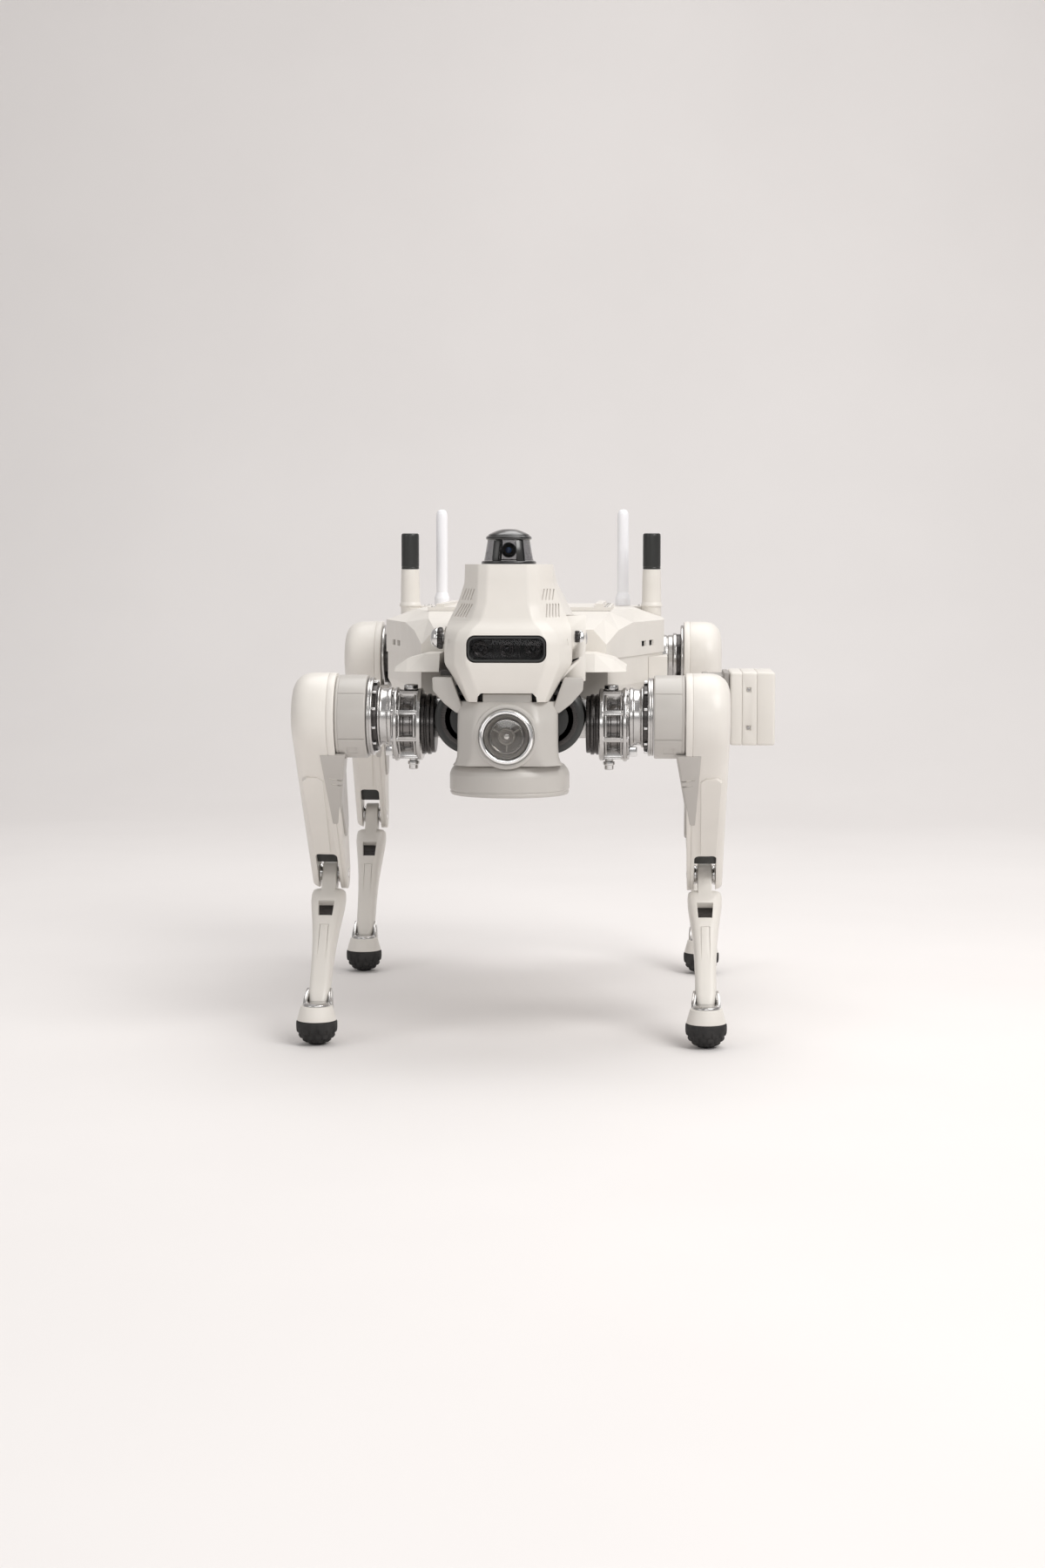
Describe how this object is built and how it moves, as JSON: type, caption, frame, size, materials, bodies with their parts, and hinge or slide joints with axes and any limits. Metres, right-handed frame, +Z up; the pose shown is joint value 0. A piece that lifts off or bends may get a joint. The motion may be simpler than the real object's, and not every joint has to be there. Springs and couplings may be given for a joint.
{
  "type": "quadruped robot",
  "caption": "Four-legged walking robot with driven hips and knees, a sensor head with a dome camera and lamp, deck antennas and a side module.",
  "frame": {"origin": "on the ground under the middle of the bounding box", "axes": "+Z up, -Y the way the robot faces, +X to the robot's left"},
  "size_m": [0.59, 0.811, 0.65],
  "materials": {
    "cream_shell": "satin cream moulded cover",
    "gray_shell": "satin warm gray moulded cover",
    "silver_metal": "machined and polished",
    "chrome_trim": "bright",
    "dark_metal": "black anodised",
    "black_plastic": "gloss black",
    "black_rubber": "matt treaded rubber",
    "white_plastic": "satin white",
    "dark_window": "dark tinted, gloss",
    "lens_glass": "clear, gloss"
  },
  "bodies": {
    "torso": {"antenna_cap_left": "black_plastic", "antenna_cap_right": "black_plastic", "antenna_post_left": "cream_shell", "antenna_post_right": "cream_shell", "battery_pack": "black_plastic", "chassis_frame": "silver_metal", "chin_shell": "gray_shell", "control_computer": "dark_metal", "depth_camera": "dark_window", "dome_base": "black_plastic", "dome_cap": "black_plastic", "dome_window": "dark_window", "front_left_abduction_actuator": "dark_metal", "front_right_abduction_actuator": "dark_metal", "head_shell": "cream_shell", "lamp_bezel": "chrome_trim", "lamp_lens": "lens_glass", "nose_ring": "gray_shell", "payload_deck": "cream_shell", "rear_left_abduction_actuator": "dark_metal", "rear_right_abduction_actuator": "dark_metal", "side_module_arm": "cream_shell", "side_module_case": "cream_shell", "side_module_cooler": "cream_shell", "torso_belly_shell": "cream_shell", "torso_top_shell": "cream_shell", "whip_antenna_left": "white_plastic", "whip_antenna_right": "white_plastic"},
    "front_left_hip": {"front_left_hip_bracket": "silver_metal", "front_left_hip_actuator": "gray_shell"},
    "front_left_thigh": {"front_left_thigh_shell": "cream_shell", "front_left_thigh_cover": "gray_shell", "front_left_knee_axle": "silver_metal"},
    "front_left_shank": {"front_left_shank": "cream_shell", "front_left_foot": "black_rubber"},
    "front_right_hip": {"front_right_hip_bracket": "silver_metal", "front_right_hip_actuator": "gray_shell"},
    "front_right_thigh": {"front_right_thigh_shell": "cream_shell", "front_right_thigh_cover": "gray_shell", "front_right_knee_axle": "silver_metal"},
    "front_right_shank": {"front_right_shank": "cream_shell", "front_right_foot": "black_rubber"},
    "rear_left_hip": {"rear_left_hip_bracket": "silver_metal", "rear_left_hip_actuator": "gray_shell"},
    "rear_left_thigh": {"rear_left_thigh_shell": "cream_shell", "rear_left_thigh_cover": "gray_shell", "rear_left_knee_axle": "silver_metal"},
    "rear_left_shank": {"rear_left_shank": "cream_shell", "rear_left_foot": "black_rubber"},
    "rear_right_hip": {"rear_right_hip_bracket": "silver_metal", "rear_right_hip_actuator": "gray_shell"},
    "rear_right_thigh": {"rear_right_thigh_shell": "cream_shell", "rear_right_thigh_cover": "gray_shell", "rear_right_knee_axle": "silver_metal"},
    "rear_right_shank": {"rear_right_shank": "cream_shell", "rear_right_foot": "black_rubber"},
    "camera_pan": {"camera_yoke": "black_plastic"},
    "camera_tilt": {"camera_ball": "black_plastic"},
    "clamp_knob_left": {"clamp_knob_left": "silver_metal"},
    "clamp_knob_right": {"clamp_knob_right": "silver_metal"}
  },
  "joints": [
    {"name": "front_left_abduction", "type": "hinge", "parent": "torso", "child": "front_left_hip", "pos_m": [0.016, -0.2935, 0.39426], "axis": [0, 1, 0], "range_deg": [-10, 22]},
    {"name": "front_left_hip_pitch", "type": "hinge", "parent": "front_left_hip", "child": "front_left_thigh", "pos_m": [0.2035, -0.2935, 0.39426], "axis": [-1, 0, 0], "range_deg": [-29.7, 69.3]},
    {"name": "front_left_knee", "type": "hinge", "parent": "front_left_thigh", "child": "front_left_shank", "pos_m": [0.2035, -0.15375, 0.18939], "axis": [1, 0, 0], "range_deg": [-31.1, 51.9]},
    {"name": "front_right_abduction", "type": "hinge", "parent": "torso", "child": "front_right_hip", "pos_m": [-0.076, -0.2935, 0.39426], "axis": [0, 1, 0], "range_deg": [-22, 10]},
    {"name": "front_right_hip_pitch", "type": "hinge", "parent": "front_right_hip", "child": "front_right_thigh", "pos_m": [-0.2635, -0.2935, 0.39426], "axis": [-1, 0, 0], "range_deg": [-29.7, 69.3]},
    {"name": "front_right_knee", "type": "hinge", "parent": "front_right_thigh", "child": "front_right_shank", "pos_m": [-0.2635, -0.15375, 0.18939], "axis": [1, 0, 0], "range_deg": [-31.1, 51.9]},
    {"name": "rear_left_abduction", "type": "hinge", "parent": "torso", "child": "rear_left_hip", "pos_m": [0.016, 0.2965, 0.44148], "axis": [0, 1, 0], "range_deg": [-10, 22]},
    {"name": "rear_left_hip_pitch", "type": "hinge", "parent": "rear_left_hip", "child": "rear_left_thigh", "pos_m": [0.2085, 0.2965, 0.44148], "axis": [-1, 0, 0], "range_deg": [-42.7, 56.3]},
    {"name": "rear_left_knee", "type": "hinge", "parent": "rear_left_thigh", "child": "rear_left_shank", "pos_m": [0.2085, 0.38659, 0.21042], "axis": [1, 0, 0], "range_deg": [-52.8, 30.2]},
    {"name": "rear_right_abduction", "type": "hinge", "parent": "torso", "child": "rear_right_hip", "pos_m": [-0.076, 0.2965, 0.44148], "axis": [0, 1, 0], "range_deg": [-22, 10]},
    {"name": "rear_right_hip_pitch", "type": "hinge", "parent": "rear_right_hip", "child": "rear_right_thigh", "pos_m": [-0.2685, 0.2965, 0.44148], "axis": [-1, 0, 0], "range_deg": [-42.7, 56.3]},
    {"name": "rear_right_knee", "type": "hinge", "parent": "rear_right_thigh", "child": "rear_right_shank", "pos_m": [-0.2685, 0.38659, 0.21042], "axis": [1, 0, 0], "range_deg": [-52.8, 30.2]},
    {"name": "camera_pan", "type": "hinge", "parent": "torso", "child": "camera_pan", "pos_m": [-0.03, -0.3435, 0.5794], "axis": [0, 0, 1], "range_deg": [-170, 170]},
    {"name": "camera_tilt", "type": "hinge", "parent": "camera_pan", "child": "camera_tilt", "pos_m": [-0.03, -0.3435, 0.5914], "axis": [1, 0, 0], "range_deg": [-30, 60]},
    {"name": "clamp_knob_left_turn", "type": "hinge", "parent": "torso", "child": "clamp_knob_left", "pos_m": [0.0455, -0.3425, 0.489], "axis": [1, 0, 0], "continuous": true},
    {"name": "clamp_knob_right_turn", "type": "hinge", "parent": "torso", "child": "clamp_knob_right", "pos_m": [-0.1055, -0.3425, 0.489], "axis": [1, 0, 0], "continuous": true}
  ]
}
